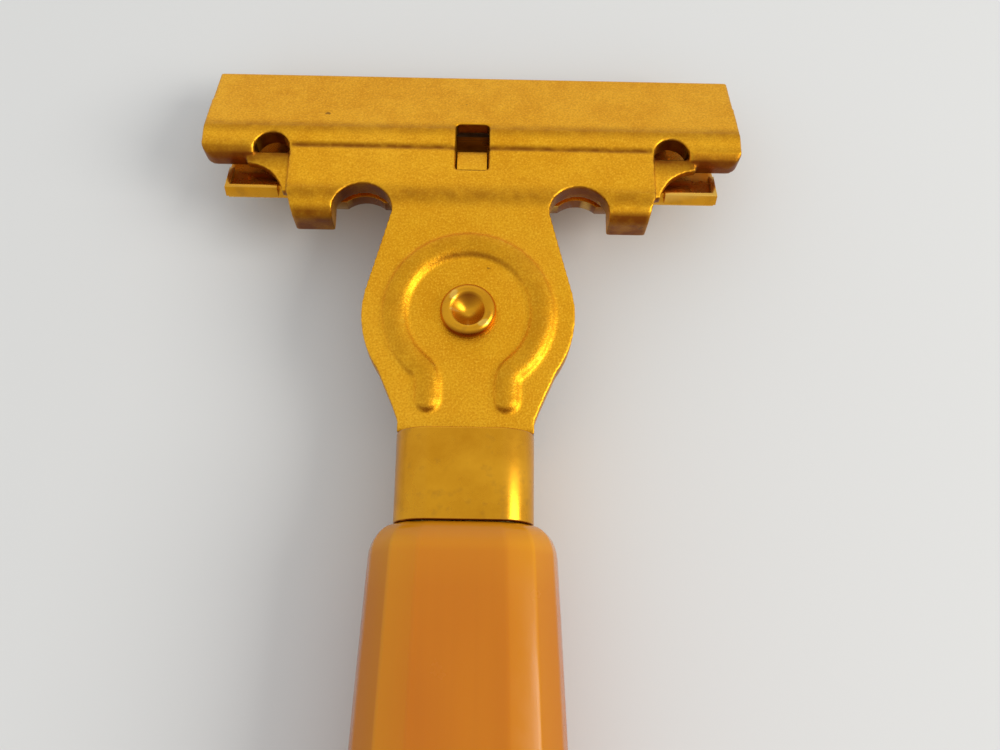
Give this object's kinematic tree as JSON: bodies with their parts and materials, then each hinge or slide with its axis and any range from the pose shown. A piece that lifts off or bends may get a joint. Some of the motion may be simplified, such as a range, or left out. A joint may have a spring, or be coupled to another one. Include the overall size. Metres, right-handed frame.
{
  "type": "injector safety razor",
  "caption": "Side-loading single-edge safety razor with a T-shaped plated head, sprung guard, horseshoe ridge, rectangular collar and faceted amber handle.",
  "frame": {"origin": "middle of the bounding box in plan, at the table, with the razor lying on its front", "axes": "+Y from the handle's butt to the head, +X across the head, +Z out of the razor's back"},
  "size_m": [0.042, 0.105, 0.0117],
  "materials": {
    "frosted_gold": "satin",
    "polished_gold": "polished",
    "spring_steel": "satin",
    "blade_steel": "satin",
    "amber_resin": "gloss",
    "bare_brass": "satin"
  },
  "bodies": {
    "razor": {"head_frame": "frosted_gold", "center_rivet": "polished_gold", "spacer_collar": "bare_brass", "rivet_washer": "polished_gold", "tang_block": "bare_brass", "tang_pins": "spring_steel", "collar": "polished_gold", "handle": "amber_resin", "handle_stud": "spring_steel", "butt_washer": "bare_brass", "stud_nut": "bare_brass", "butt_plug": "amber_resin"},
    "guard": {"guard_plate": "polished_gold", "guard_bar": "polished_gold", "blade_spring": "spring_steel", "spring_rivets": "bare_brass", "clamp_spring": "spring_steel"},
    "blade": {"blade": "blade_steel"}
  },
  "joints": [
    {"name": "guard_rock", "type": "hinge", "parent": "razor", "child": "guard", "pos_m": [0, 0.02897, 0.00507], "axis": [-1, 0, 0], "range_deg": [0, 3], "stiffness_Nm_per_rad": 1, "springref_deg": -1.15},
    {"name": "blade_slide", "type": "slide", "parent": "razor", "child": "blade", "axis": [1, 0, 0], "range_m": [0, 0.039]}
  ]
}
